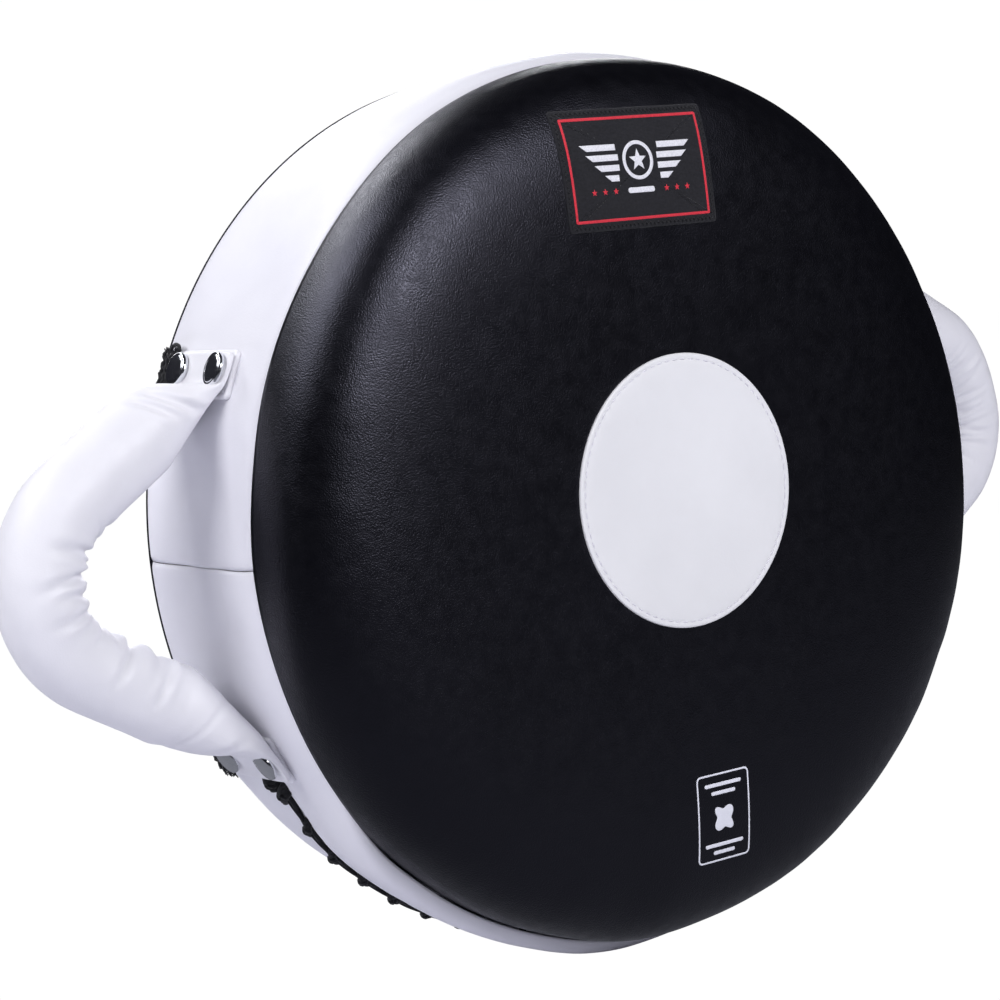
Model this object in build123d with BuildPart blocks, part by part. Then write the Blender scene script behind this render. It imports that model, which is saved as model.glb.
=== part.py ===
from build123d import *
import os
from math import asin, cos, hypot, radians, sin, sqrt

# Round strike shield with two padded side handles, in millimetres.
# The origin is the centre of the flat back face. +Y points out of the back, towards the holder,
# so the crowned strike face looks along -Y. +Z is up, and the handles stand out along -X and +X.
# Angles are measured in the XZ plane, from +X towards +Z.

# ---- driving dimensions: body --------------------------------------------------------------
SEAM_R = 200.0          # radius of the pad at its front and back seams
GUSSET_DEPTH = 88.0     # width of the white side band, between the two seams
FACE_Y = -135.2         # crown of the strike face
CROWN_R = 6000.0        # radius of the nearly flat strike face
SHOULDER_R = 40.0       # radius that rolls the strike face over into the side wall
COVER = 1.8             # leather of the front panel and the gusset
BACK_COVER = 2.0        # leather of the back panel
SEAM_GAP = 0.05         # two leathers that butt at a seam
BACK_EDGE_R = 0.8
THROUGH = 400.0         # long enough to cut right through the pad

# ---- driving dimensions: filling -----------------------------------------------------------
FOAM_INSET = 2.2        # strike foam, measured in from the outside of the front panel
CORE_R = 193.0          # foam discs behind the front seam
STRIKE_BACK_Y = -110.0  # back of the dense strike sheet
FRONT_CORE_BACK_Y = -90.0
MIDDLE_CORE_BACK_Y = -47.0
REAR_CORE_BACK_Y = -12.0
BACK_SHEET_BACK_Y = -2.2
LAYER_GAP = 0.2

# ---- driving dimensions: closing slit and lace ---------------------------------------------
SLIT_Y = -44.5
SLIT_WIDTH = 3.0
SLIT_START = 211.0
SLIT_END = 329.0
LACE_D = 2.4
LACE_PITCH_DEG = 5.5
LACE_ROW = 6.5          # each row of lace holes stands this far from the slit
LACE_HOLE_R = 1.8
LACE_TURNS = 20
LACE_BEND_R = 1.8
LACE_RUN_POINTS = 14    # points along the straight run of the lace
FLAP_HALF = 15.0        # half width of the strip of leather behind the slit
FLAP_INNER_R = 193.6
FLAP_OUTER_R = 195.0

# ---- driving dimensions: sewn-on pieces ----------------------------------------------------
TARGET_R = 61.3
TARGET_Z = 5.0
TARGET_T = 1.4
LABEL_W = 84.0
LABEL_H = 53.0
LABEL_X = -8.4
LABEL_Z = 149.5
LABEL_T = 0.9
LABEL_TURN = 1.5        # the label is sewn on turned by this much
LABEL_CORNER = 1.5

# ---- driving dimensions: handles -----------------------------------------------------------
HANDLE_Y = -40.5        # middle plane of both handles
GRIP_D = 38.0
SLEEVE = 1.5            # leather of the grip
STRAP_W = 24.0
STRAP_T = 4.0
LEG_FOOT = (203.0, 67.5)      # where the middle line of a leg leaves the tab
LEG_STEP = (0.853, -0.522)    # direction of a leg, away from the tab
GRIP_BEND_R = 41.2
HINGE_X = 186.0         # the handle tilts about the line through its two attachments
HINGE_R = 26.0          # the fixed necks end on this cylinder, and the grip starts on it
HINGE_GAP = 0.25        # on each side of that cylinder
PADDING_GAP = 1.25      # the padding stops a little short of it
CLEAR = 0.2
LEG_START = -8.0        # a grip starts this far before the foot of its leg
NECK_TIP = 16.0         # a neck is as round as the grip this far after the foot
NECK_MIDDLE = (203.0, 71.5)      # where a neck is half way from flat to round
NECK_MIDDLE_STEP = (0.66, -0.75)
NECK_MIDDLE_W = 41.0
NECK_MIDDLE_T = 19.0

# ---- driving dimensions: handle attachments ------------------------------------------------
TAB_Y = -40.5           # middle of the tabs
TAB_W = 47.0
TAB_SPAN = {1: (20.6, 26.9), -1: (22.6, 29.4)}       # angles above (1) or below (-1) the horizontal
TONGUE_SPAN = {1: (20.1, 26.2), -1: (20.8, 28.2)}
RIVET_ANGLE = {1: 23.9, -1: 25.2}
TAB_T = 2.4
TAB_CORNER = 3.0
TONGUE_W = 42.0
TONGUE_T = 3.6
TAIL_W = 12.5           # end of the webbing, showing behind the tab
TAIL_T = 2.4
TAIL_CORNER = 1.5
TAIL_SHORT_DEG = 0.4
PATCH_GROW_DEG = 1.0
PATCH_T = 2.0
PATCH_CORNER = 4.0
RIVET_Y = -42.3         # middle of a pair of rivets
RIVET_PITCH = 30.4
RIVET_CAP_R = 7.6
RIVET_CAP_T = 3.0
RIVET_EDGE_R = 1.1
RIVET_POST_R = 2.0
RIVET_HOLE_R = 2.15
HOLE_LENGTH = 40.0
WASHER_R = 5.5
WASHER_T = 1.0

SIDES = ((-1, "left"), (1, "right"))
ENDS = ((1, "upper"), (-1, "lower"))

INNER_R = SEAM_R - COVER
TAB_R = SEAM_R + SEAM_GAP
TONGUE_R = TAB_R + TAB_T + SEAM_GAP
CAP_SEAT_R = TONGUE_R + TONGUE_T + SEAM_GAP
PATCH_R = INNER_R - SEAM_GAP
WASHER_SEAT_R = PATCH_R - PATCH_T - 4 * SEAM_GAP   # a flat washer on a curved patch

os.makedirs("parts", exist_ok=True)
finished = []


def save(builder, name):
    """Label a finished piece and write it as its own file."""
    builder.part.label = name
    export_step(builder.part, f"parts/{name}.step")
    finished.append(name)


def cap_section(inset, open_y):
    """Half section of the crowned cap in XY, shrunk by inset and closed by a line at open_y."""
    centre_x = SEAM_R - SHOULDER_R
    reach = CROWN_R - SHOULDER_R
    lean = asin(centre_x / reach)
    crown_y = FACE_Y + CROWN_R
    shoulder_y = crown_y - reach * cos(lean)
    crown_r = CROWN_R - inset
    shoulder_r = SHOULDER_R - inset
    top = (0, FACE_Y + inset)
    middle = (crown_r * sin(lean / 2), crown_y - crown_r * cos(lean / 2))
    join = (crown_r * sin(lean), crown_y - crown_r * cos(lean))
    bend = radians(45) + lean / 2
    roll = (centre_x + shoulder_r * sin(bend), shoulder_y - shoulder_r * cos(bend))
    wall = (centre_x + shoulder_r, shoulder_y)
    foot = (centre_x + shoulder_r, open_y)
    with BuildSketch(mode=Mode.PRIVATE) as section:
        with BuildLine():
            ThreePointArc(top, middle, join)
            ThreePointArc(join, roll, wall)
            Polyline(wall, foot, (0, open_y), top)
        make_face()
    return section.sketch


def across(y):
    """The XZ plane at a height y. Extruding from it runs towards the strike face."""
    return Plane.XZ.offset(-y)


def sector(y, inner_r, outer_r, start, end):
    """A piece of a ring, between two angles, in the XZ plane at a height y."""
    with BuildSketch(across(y), mode=Mode.PRIVATE) as piece:
        with BuildLine():
            outer = CenterArc((0, 0), outer_r, start, end - start)
            inner = CenterArc((0, 0), inner_r, start, end - start)
            Line(outer @ 0, inner @ 0)
            Line(outer @ 1, inner @ 1)
        make_face()
    return piece.sketch


def bearing(side, end, angle):
    """Angle in XZ of a place that is so many degrees above or below one side's horizontal."""
    return end * angle if side > 0 else 180 - end * angle


def span(side, end, first, last):
    """The same two places as an ordered pair of angles."""
    return sorted((bearing(side, end, first), bearing(side, end, last)))


def outward(angle, radius, y):
    """A plane on the ring of the given radius, facing straight out."""
    out = (cos(radians(angle)), 0, sin(radians(angle)))
    return Plane(origin=(radius * out[0], y, radius * out[2]), x_dir=(0, 1, 0), z_dir=out)


def rivet_places(side, end, radius):
    """Where the two rivets of one attachment cross the ring of the given radius."""
    angle = bearing(side, end, RIVET_ANGLE[end])
    return [outward(angle, radius, RIVET_Y + half) for half in (-RIVET_PITCH / 2, RIVET_PITCH / 2)]


def rivet_holes(side, end):
    """Cut the holes for one attachment's rivets through the piece being made."""
    with Locations(*rivet_places(side, end, SEAM_R)):
        Cylinder(RIVET_HOLE_R, HOLE_LENGTH, mode=Mode.SUBTRACT)


def round_corners(builder, thickness, radius):
    """Round the corners of a thin plate: its short edges, as long as it is thick."""
    corners = builder.edges().filter_by(lambda edge: abs(edge.length - thickness) < 0.02)
    fillet(corners, radius)


def leg_point(distance):
    """A point on the middle line of a leg, in the first quarter of XZ."""
    return LEG_FOOT[0] + LEG_STEP[0] * distance, LEG_FOOT[1] + LEG_STEP[1] * distance


# ---- cover ---------------------------------------------------------------------------------
with BuildPart() as front_panel:
    revolve(cap_section(0, -GUSSET_DEPTH), axis=Axis.Y)
    revolve(cap_section(COVER, -GUSSET_DEPTH), axis=Axis.Y, mode=Mode.SUBTRACT)
save(front_panel, "front_panel")

with BuildPart() as back_panel:
    with BuildSketch(across(0)):
        Circle(SEAM_R)
    extrude(amount=BACK_COVER)
    fillet(back_panel.edges().group_by(Axis.Y)[-1], BACK_EDGE_R)
save(back_panel, "back_panel")

gusset_back_y = -BACK_COVER - SEAM_GAP
gusset_width = GUSSET_DEPTH - BACK_COVER - 2 * SEAM_GAP
half_gap = 0.02

with BuildPart() as gusset_upper:
    extrude(sector(gusset_back_y, INNER_R, SEAM_R, half_gap, 180 - half_gap), amount=gusset_width)
    for side, _ in SIDES:
        rivet_holes(side, 1)
save(gusset_upper, "gusset_upper")

lace_angles = [270 + (i - (LACE_TURNS - 1) / 2) * LACE_PITCH_DEG for i in range(LACE_TURNS)]

with BuildPart() as gusset_lower:
    band = sector(gusset_back_y, INNER_R, SEAM_R, 180 + half_gap, 360 - half_gap)
    extrude(band, amount=gusset_width)
    slit = sector(SLIT_Y + SLIT_WIDTH / 2, INNER_R - 1, SEAM_R + 1, SLIT_START, SLIT_END)
    extrude(slit, amount=SLIT_WIDTH, mode=Mode.SUBTRACT)
    rows = [(a - LACE_PITCH_DEG / 4, SLIT_Y - LACE_ROW) for a in lace_angles]
    rows += [(a + LACE_PITCH_DEG / 4, SLIT_Y + LACE_ROW) for a in lace_angles]
    with Locations(*[outward(a, SEAM_R, y) for a, y in rows]):
        Cylinder(LACE_HOLE_R, HOLE_LENGTH / 2, mode=Mode.SUBTRACT)
    for side, _ in SIDES:
        rivet_holes(side, -1)
save(gusset_lower, "gusset_lower")

with BuildPart() as slit_flap:
    strip = sector(SLIT_Y + FLAP_HALF, FLAP_INNER_R, FLAP_OUTER_R, SLIT_START - 1, SLIT_END + 1)
    extrude(strip, amount=2 * FLAP_HALF)
save(slit_flap, "slit_flap")

# ---- sewn-on pieces: a slice of the cap's own surface, cut to the outline of the piece -------
with BuildPart() as centre_target:
    revolve(cap_section(-TARGET_T, -GUSSET_DEPTH), axis=Axis.Y)
    revolve(cap_section(-SEAM_GAP, -GUSSET_DEPTH), axis=Axis.Y, mode=Mode.SUBTRACT)
    with BuildSketch(across(FACE_Y + 20)):
        with Locations((0, TARGET_Z)):
            Circle(TARGET_R)
    extrude(amount=40, mode=Mode.INTERSECT)
save(centre_target, "centre_target")

with BuildPart() as woven_label:
    revolve(cap_section(-LABEL_T, -GUSSET_DEPTH), axis=Axis.Y)
    revolve(cap_section(-SEAM_GAP, -GUSSET_DEPTH), axis=Axis.Y, mode=Mode.SUBTRACT)
    with BuildSketch(across(FACE_Y + 40)):
        with Locations((LABEL_X, LABEL_Z)):
            RectangleRounded(LABEL_W, LABEL_H, LABEL_CORNER, rotation=-LABEL_TURN)
    extrude(amount=60, mode=Mode.INTERSECT)
save(woven_label, "woven_label")

# ---- filling -------------------------------------------------------------------------------
with BuildPart() as strike_foam:
    revolve(cap_section(FOAM_INSET, -GUSSET_DEPTH), axis=Axis.Y)
    split(bisect_by=across(STRIKE_BACK_Y), keep=Keep.TOP)
save(strike_foam, "strike_foam")

with BuildPart() as front_core_foam:
    revolve(cap_section(FOAM_INSET, FRONT_CORE_BACK_Y), axis=Axis.Y)
    split(bisect_by=across(STRIKE_BACK_Y + LAYER_GAP), keep=Keep.BOTTOM)
save(front_core_foam, "front_core_foam")

foam_discs = (
    ("middle_core_foam", FRONT_CORE_BACK_Y, MIDDLE_CORE_BACK_Y),
    ("rear_core_foam", MIDDLE_CORE_BACK_Y, REAR_CORE_BACK_Y),
    ("back_sheet_foam", REAR_CORE_BACK_Y, BACK_SHEET_BACK_Y),
)
for name, front_y, back_y in foam_discs:
    with BuildPart() as foam_disc:
        with BuildSketch(across(back_y)):
            Circle(CORE_R)
        extrude(amount=back_y - front_y - LAYER_GAP)
    save(foam_disc, name)

# ---- lace: along the slit in one run, then back over itself in turns through the holes ---------
def on_ring(angle, radius, y):
    return Vector(radius * cos(radians(angle)), y, radius * sin(radians(angle)))


under_r = INNER_R - LACE_D / 2 - 0.1
run_r = SEAM_R + LACE_D / 2 + 0.1
over_r = run_r + LACE_D / 2 + 0.1
quarter = LACE_PITCH_DEG / 4
run_from = lace_angles[0] - 2.5 * quarter
run_to = lace_angles[-1] + 2.5 * quarter

with BuildPart() as slit_lace:
    with BuildLine() as lace_path:
        route = [
            on_ring(run_from + (run_to - run_from) * i / LACE_RUN_POINTS, run_r, SLIT_Y)
            for i in range(LACE_RUN_POINTS + 1)
        ]
        route.append(on_ring(run_to + quarter, under_r, SLIT_Y))
        for angle in reversed(lace_angles):
            rear = angle + quarter
            front = angle - quarter
            route.append(on_ring(rear, under_r, SLIT_Y + LACE_ROW))
            route.append(on_ring(rear, over_r, SLIT_Y + LACE_ROW))
            route.append(on_ring(front, over_r, SLIT_Y - LACE_ROW))
            route.append(on_ring(front, under_r, SLIT_Y - LACE_ROW))
        FilletPolyline(*route, radius=LACE_BEND_R)
    with BuildSketch(Plane(origin=lace_path.line @ 0, z_dir=lace_path.line % 0)):
        Circle(LACE_D / 2)
    sweep(path=lace_path.line)
save(slit_lace, "slit_lace")

# ---- handles -------------------------------------------------------------------------------
def grip_path(side):
    """Middle line of a handle, from its upper leg round the grip to its lower leg."""
    start = leg_point(LEG_START)
    peak = LEG_FOOT[0] + LEG_STEP[0] * LEG_FOOT[1] / -LEG_STEP[1]
    corners = [(side * start[0], start[1]), (side * peak, 0), (side * start[0], -start[1])]
    with BuildLine(Plane.XZ.offset(-HANDLE_Y)) as path:
        FilletPolyline(*corners, radius=GRIP_BEND_R)
    return path.line


def grip_start(path):
    """Plane across the start of a handle's middle line, with its first direction along +Y."""
    return Plane(origin=path @ 0, x_dir=(0, 1, 0), z_dir=path % 0)


def clear_of_hinge(side, gap):
    """Cut the moving piece back to the hinge cylinder."""
    with Locations((side * HINGE_X, HANDLE_Y, 0)):
        Cylinder(HINGE_R + gap, THROUGH, mode=Mode.SUBTRACT)


for side, side_name in SIDES:
    path = grip_path(side)

    with BuildPart() as grip_sleeve:
        with BuildSketch(grip_start(path)):
            Circle(GRIP_D / 2)
            Circle(GRIP_D / 2 - SLEEVE, mode=Mode.SUBTRACT)
        sweep(path=path)
        clear_of_hinge(side, HINGE_GAP)
    save(grip_sleeve, f"{side_name}_grip_sleeve")

    with BuildPart() as grip_padding:
        with BuildSketch(grip_start(path)):
            Circle(GRIP_D / 2 - SLEEVE - CLEAR / 2)
            Rectangle(STRAP_W + CLEAR, STRAP_T + CLEAR, mode=Mode.SUBTRACT)
        sweep(path=path)
        clear_of_hinge(side, PADDING_GAP)
    save(grip_padding, f"{side_name}_grip_padding")

    with BuildPart() as core_strap:
        with BuildSketch(grip_start(path)):
            Rectangle(STRAP_W, STRAP_T)
        sweep(path=path)
        clear_of_hinge(side, HINGE_GAP)
    save(core_strap, f"{side_name}_core_strap")

    for end, end_name in ENDS:
        place = f"{side_name}_{end_name}"
        tab_from, tab_to = TAB_SPAN[end]
        tongue_from, tongue_to = TONGUE_SPAN[end]

        with BuildPart() as tab:
            plate = sector(TAB_Y + TAB_W / 2, TAB_R, TAB_R + TAB_T,
                           *span(side, end, tab_from, tab_to))
            extrude(plate, amount=TAB_W)
            round_corners(tab, TAB_T, TAB_CORNER)
            rivet_holes(side, end)
        save(tab, f"{place}_tab")

        with BuildPart() as strap_tail:
            plate = sector(TAB_Y + TAB_W / 2 + SEAM_GAP + TAIL_W, TAB_R, TAB_R + TAIL_T,
                           *span(side, end, tab_from + TAIL_SHORT_DEG, tab_to - TAIL_SHORT_DEG))
            extrude(plate, amount=TAIL_W)
            round_corners(strap_tail, TAIL_T, TAIL_CORNER)
        save(strap_tail, f"{place}_strap_tail")

        with BuildPart() as neck:
            tangent = bearing(side, end, tongue_from + 1)
            root_r = TONGUE_R + TONGUE_T / 2
            root = on_ring(tangent, root_r, TAB_Y)
            turn = radians(tongue_from + 1)
            middle = (side * NECK_MIDDLE[0], HANDLE_Y, end * NECK_MIDDLE[1])
            tip_x, tip_z = leg_point(NECK_TIP)
            root_plane = Plane(root, x_dir=(0, 1, 0), z_dir=(side * sin(turn), 0, -end * cos(turn)))
            middle_plane = Plane(middle, x_dir=(0, 1, 0),
                                 z_dir=(side * NECK_MIDDLE_STEP[0], 0, end * NECK_MIDDLE_STEP[1]))
            tip_plane = Plane((side * tip_x, HANDLE_Y, end * tip_z), x_dir=(0, 1, 0),
                              z_dir=(side * LEG_STEP[0], 0, end * LEG_STEP[1]))
            with BuildSketch(root_plane):
                RectangleRounded(TONGUE_W, TONGUE_T, TONGUE_T / 2 - 0.05)
            with BuildSketch(middle_plane):
                RectangleRounded(NECK_MIDDLE_W, NECK_MIDDLE_T, NECK_MIDDLE_T / 2 - 0.1)
            with BuildSketch(tip_plane):
                RectangleRounded(GRIP_D, GRIP_D - 0.2, GRIP_D / 2 - 0.2)
            loft()
            tongue = sector(TAB_Y + TONGUE_W / 2, TONGUE_R, TONGUE_R + TONGUE_T,
                            *span(side, end, tongue_from, tongue_to))
            extrude(tongue, amount=TONGUE_W)
            with BuildSketch(across(0)):
                Circle(TONGUE_R)
            extrude(amount=GUSSET_DEPTH, mode=Mode.SUBTRACT)
            with Locations((side * HINGE_X, HANDLE_Y, 0)):
                Cylinder(HINGE_R - HINGE_GAP, THROUGH, mode=Mode.INTERSECT)
            rivet_holes(side, end)
        save(neck, f"{place}_neck")

        with BuildPart() as rivets:
            with Locations(*rivet_places(side, end, CAP_SEAT_R)):
                Cylinder(RIVET_CAP_R, RIVET_CAP_T, align=(Align.CENTER, Align.CENTER, Align.MIN))
            caps = rivets.edges().filter_by(GeomType.CIRCLE)
            rims = [e for e in caps if hypot(e.center().X, e.center().Z) > CAP_SEAT_R + 1]
            fillet(rims, RIVET_EDGE_R)
            post_length = CAP_SEAT_R - WASHER_SEAT_R + WASHER_T
            with Locations(*rivet_places(side, end, CAP_SEAT_R)):
                Cylinder(RIVET_POST_R, post_length, align=(Align.CENTER, Align.CENTER, Align.MAX))
        save(rivets, f"{place}_rivets")

        with BuildPart() as washers:
            with Locations(*rivet_places(side, end, WASHER_SEAT_R)):
                Cylinder(WASHER_R, WASHER_T, align=(Align.CENTER, Align.CENTER, Align.MAX))
                Cylinder(RIVET_POST_R + 0.05, 10, mode=Mode.SUBTRACT)
        save(washers, f"{place}_washers")

        with BuildPart() as backing:
            plate = sector(TAB_Y + TAB_W / 2, PATCH_R - PATCH_T, PATCH_R,
                           *span(side, end, tab_from - PATCH_GROW_DEG, tab_to + PATCH_GROW_DEG))
            extrude(plate, amount=TAB_W)
            round_corners(backing, PATCH_T, PATCH_CORNER)
            rivet_holes(side, end)
        save(backing, f"{place}_backing")

print(len(finished), "pieces written")
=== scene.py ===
"""Visual model of a round strike shield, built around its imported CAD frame. Shapes are in millimetres."""
import random
from math import atan2, copysign, cos, degrees, exp, hypot, pi, radians, sin, sqrt, tau

import bmesh
import bpy
import numpy as np
from mathutils import Matrix, Vector, noise


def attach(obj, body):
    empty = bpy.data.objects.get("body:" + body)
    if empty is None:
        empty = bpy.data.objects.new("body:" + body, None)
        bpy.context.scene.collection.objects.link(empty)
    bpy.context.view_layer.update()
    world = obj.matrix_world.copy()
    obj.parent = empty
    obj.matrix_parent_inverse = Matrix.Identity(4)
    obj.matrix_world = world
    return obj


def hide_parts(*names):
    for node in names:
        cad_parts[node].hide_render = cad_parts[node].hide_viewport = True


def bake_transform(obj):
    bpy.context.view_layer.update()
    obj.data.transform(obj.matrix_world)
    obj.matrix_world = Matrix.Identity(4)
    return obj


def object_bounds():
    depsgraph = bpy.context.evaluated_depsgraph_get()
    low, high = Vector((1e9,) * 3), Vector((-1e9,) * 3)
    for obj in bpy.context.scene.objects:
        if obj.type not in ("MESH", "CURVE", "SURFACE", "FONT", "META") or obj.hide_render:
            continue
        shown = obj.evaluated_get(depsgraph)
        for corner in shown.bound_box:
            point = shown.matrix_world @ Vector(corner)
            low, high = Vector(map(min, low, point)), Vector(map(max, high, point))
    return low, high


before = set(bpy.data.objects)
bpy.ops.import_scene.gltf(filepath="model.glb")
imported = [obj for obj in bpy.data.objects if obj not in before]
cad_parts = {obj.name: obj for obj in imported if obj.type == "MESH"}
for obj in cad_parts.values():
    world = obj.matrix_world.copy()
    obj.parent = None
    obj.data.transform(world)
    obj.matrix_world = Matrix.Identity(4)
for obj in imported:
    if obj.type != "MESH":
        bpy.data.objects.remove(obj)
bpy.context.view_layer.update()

MM = 0.001
SEAM_R = 200.0
FRONT_SEAM_Y = -88.0
BACK_SEAM_Y = -0.9
CROWN_DEPTH, EDGE_POWER, CROWN_POWER = 46.6, 8.5, 0.364
HANDLE_Y = -40.5
SLIT_Y, SLIT_HALF = -44.5, 1.3
SLIT_START, SLIT_END = 211.0, 329.0
TARGET_Z, TARGET_R = 5.0, 61.3
LABEL_AT, LABEL_SIZE, LABEL_TURN = (-8.4, 149.5), (84.0, 53.0), -1.5
MARK_AT, MARK_SIZE, MARK_TURN = (4.3, -144.8), (31.5, 41.0), -1.5
LACE_TURNS, LACE_PITCH = 20, 5.5
TAB_R, TAB_Y, TAB_W = 200.05, -40.5, 47.0
WALL_LEAST_R = 194.3    # the side wall stays outside the filling
TAB_SPAN = {1: (20.6, 26.9), -1: (22.6, 29.4)}
RIVET_ANGLE = {1: 23.9, -1: 25.2}
RIVET_Y, RIVET_PITCH, RIVET_SEAT_R = -42.3, 30.4, 206.15
SIDES = ((-1, "left"), (1, "right"))
ENDS = ((1, "upper"), (-1, "lower"))
SEAM_PITCH = 4.5
FLAP_R = 194.6
SUNK = 0.25             # how far a sewn or printed piece reaches into its ground
PRINT_LIFT = 0.10
TO_CAMERA = 1.02        # just over white, so that floor and sky meet without an edge


# ---- camera ----
def make_camera():
    camera = bpy.data.objects.new("camera", bpy.data.cameras.new("camera"))
    right = Vector((0.79053, -0.60337, -0.10492))
    up = Vector((0.15221, 0.02762, 0.98796))
    back = Vector((-0.59321, -0.79698, 0.11367))
    turn = Matrix((right, up, back)).transposed()
    camera.matrix_world = Matrix.Translation((-0.81961, -1.09663, 0.15385)) @ turn.to_4x4()
    camera.data.lens = 102.64
    camera.data.sensor_width = 36.0
    bpy.context.scene.collection.objects.link(camera)
    bpy.context.scene.camera = camera


make_camera()


# ---- small helpers ----
def smooth(low, high, x):
    """0 below low, 1 above high, and a smooth step between; low may be above high."""
    t = min(max((x - low) / (high - low), 0.0), 1.0)
    return t * t * (3 - 2 * t)


def bump(x, centre, width):
    return exp(-((x - centre) / width) ** 2)


def wander(x, y=0.0, z=0.0, seed=0.0):
    """Smooth noise between about -1 and 1."""
    return noise.noise(Vector((x, y + seed * 7.31, z - seed * 3.17)))


def polar(theta, radius, y):
    a = radians(theta)
    return Vector((radius * cos(a), y, radius * sin(a)))


def grid_faces(rows, cols, wrap=False, skip=None):
    """Quads of a rows x cols grid of vertices; wrap joins the last column to the first."""
    faces = []
    for i in range(rows - 1):
        for j in range(cols if wrap else cols - 1):
            if skip and skip(i, j):
                continue
            k = (j + 1) % cols
            faces.append((i * cols + j, i * cols + k, (i + 1) * cols + k, (i + 1) * cols + j))
    return faces


def capped(rows, cols):
    """Faces of a closed tube: its quads, then a cap on its first and its last ring."""
    caps = [tuple(range(cols)), tuple((rows - 1) * cols + k for k in range(cols))]
    return grid_faces(rows, cols, wrap=True) + caps


def fan(tip, first, count):
    """Triangles from a tip to the ring of vertices that starts at first."""
    return [(tip, first + j, first + (j + 1) % count) for j in range(count)]


def between(a, b, share):
    return a[0] + (b[0] - a[0]) * share, a[1] + (b[1] - a[1]) * share


def middle_of(outline):
    return sum(p[0] for p in outline) / len(outline), sum(p[1] for p in outline) / len(outline)


def make_piece(name, verts, faces, material, ride=True):
    """A smooth mesh from points in millimetres, with its normals facing out."""
    mesh = bpy.data.meshes.new(name)
    mesh.from_pydata([tuple(c * MM for c in v) for v in verts], [], faces)
    work = bmesh.new()
    work.from_mesh(mesh)
    loose = [v for v in work.verts if not v.link_faces]
    bmesh.ops.delete(work, geom=loose, context="VERTS")
    bmesh.ops.recalc_face_normals(work, faces=work.faces)
    work.to_mesh(mesh)
    work.free()
    mesh.shade_smooth()
    mesh.materials.append(material)
    piece = bpy.data.objects.new(name, mesh)
    bpy.context.scene.collection.objects.link(piece)
    if ride:
        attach(piece, "shell")
    return piece


def apply_modifiers(piece):
    """Bake the piece's modifiers into its mesh."""
    graph = bpy.context.evaluated_depsgraph_get()
    mesh = bpy.data.meshes.new_from_object(piece.evaluated_get(graph))
    piece.modifiers.clear()
    old = piece.data
    piece.data = mesh
    bpy.data.meshes.remove(old)
    mesh.shade_smooth()


def thicken(piece, thickness):
    solid = piece.modifiers.new("thickness", "SOLIDIFY")
    solid.thickness = thickness * MM
    solid.offset = -1
    solid.use_even_offset = False
    apply_modifiers(piece)


def subdivide(piece):
    step = piece.modifiers.new("smooth", "SUBSURF")
    step.levels = step.render_levels = 1
    apply_modifiers(piece)


class Shape:
    """Gathers many small parts into one mesh."""

    def __init__(self):
        self.verts, self.faces = [], []

    def add(self, verts, faces):
        base = len(self.verts)
        self.verts += [Vector(v) for v in verts]
        self.faces += [tuple(base + i for i in f) for f in faces]

    def tube(self, path, radius, sides=8, flat=1.0, taper=0.0):
        """A round or flattened tube along a list of points, with closed, slightly rounded ends."""
        count = len(path)
        rings = []
        for i, p in enumerate(path):
            step = path[min(i + 1, count - 1)] - path[max(i - 1, 0)]
            along = step.normalized()
            side = along.cross(Vector((0.13, 0.97, 0.21))).normalized()
            out = side.cross(along).normalized()
            r = radius
            ends = min(i, count - 1 - i) / max(count - 1, 1)
            if taper and ends < taper:
                r *= sqrt(max(1 - (1 - ends / taper) ** 2, 0.04))
            rings += [p + side * (r * cos(a)) + out * (r * flat * sin(a))
                      for a in (tau * k / sides for k in range(sides))]
        self.add(rings, capped(count, sides))

    def stitch(self, at, along, out, length, width, height=None):
        """One sewn thread: a low bead whose two ends dive into the leather."""
        height = height or width
        along, out = along.normalized(), out.normalized()
        side = along.cross(out).normalized()
        rows, sides = 7, 8
        verts = []
        for i in range(rows):
            u = -1 + 2 * i / (rows - 1)
            r = max(1 - abs(u) ** 3.0, 0.12)
            rise = 0.32 * height * (1 - u * u) - 0.30 * height
            for k in range(sides):
                a = tau * k / sides
                verts.append(at + along * (u * length / 2) + side * (width / 2 * r * cos(a))
                             + out * (height / 2 * r * sin(a) + rise))
        self.add(verts, capped(rows, sides))

    def piece(self, name, material, slot):
        return make_piece(name, self.verts, self.faces, material)


# ---- the pad's outer surface ----
def rim_radius(theta):
    """The rim is hand sewn, so it isn't a perfect circle."""
    a = radians(theta)
    wobble = 0.55 * wander(2.1 * cos(a), 2.1 * sin(a), seed=3)
    place = (theta + 180) % 360 - 180
    swell = (2.5 * bump(place, -27, 24) - 0.8 * bump(place, -33, 4) + 2.0 * bump(place, -99, 9)
             + 0.8 * bump(place, -141, 6) + 0.8 * bump(place, 57, 14) - 0.9 * bump(place, 168, 8))
    return SEAM_R + wobble + swell


def along_bottom(theta):
    """1 along the bottom of the pad, 0 elsewhere."""
    return smooth(22, 36, abs((theta % 360 + 90) % 180 - 90)) * (theta % 360 > 180)


def hem_radius(theta):
    """The back seam, which draws in a little along the bottom."""
    a = radians(theta)
    return SEAM_R - 0.6 + 0.3 * wander(2 * cos(a), 2 * sin(a), seed=14) - 2.2 * along_bottom(theta)


def seam_y(theta):
    """Where the front seam runs; it creeps towards the face at the upper left."""
    a = radians(theta)
    return (FRONT_SEAM_Y - 3.6 * bump(theta % 360, 134, 15)
            + 0.5 * wander(3 * cos(a), 3 * sin(a), seed=5))


def dome_depth(share):
    """Height of the strike face above the seam, at a share of the rim's radius."""
    return CROWN_DEPTH * (1 - min(share, 1.0) ** EDGE_POWER) ** CROWN_POWER


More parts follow.
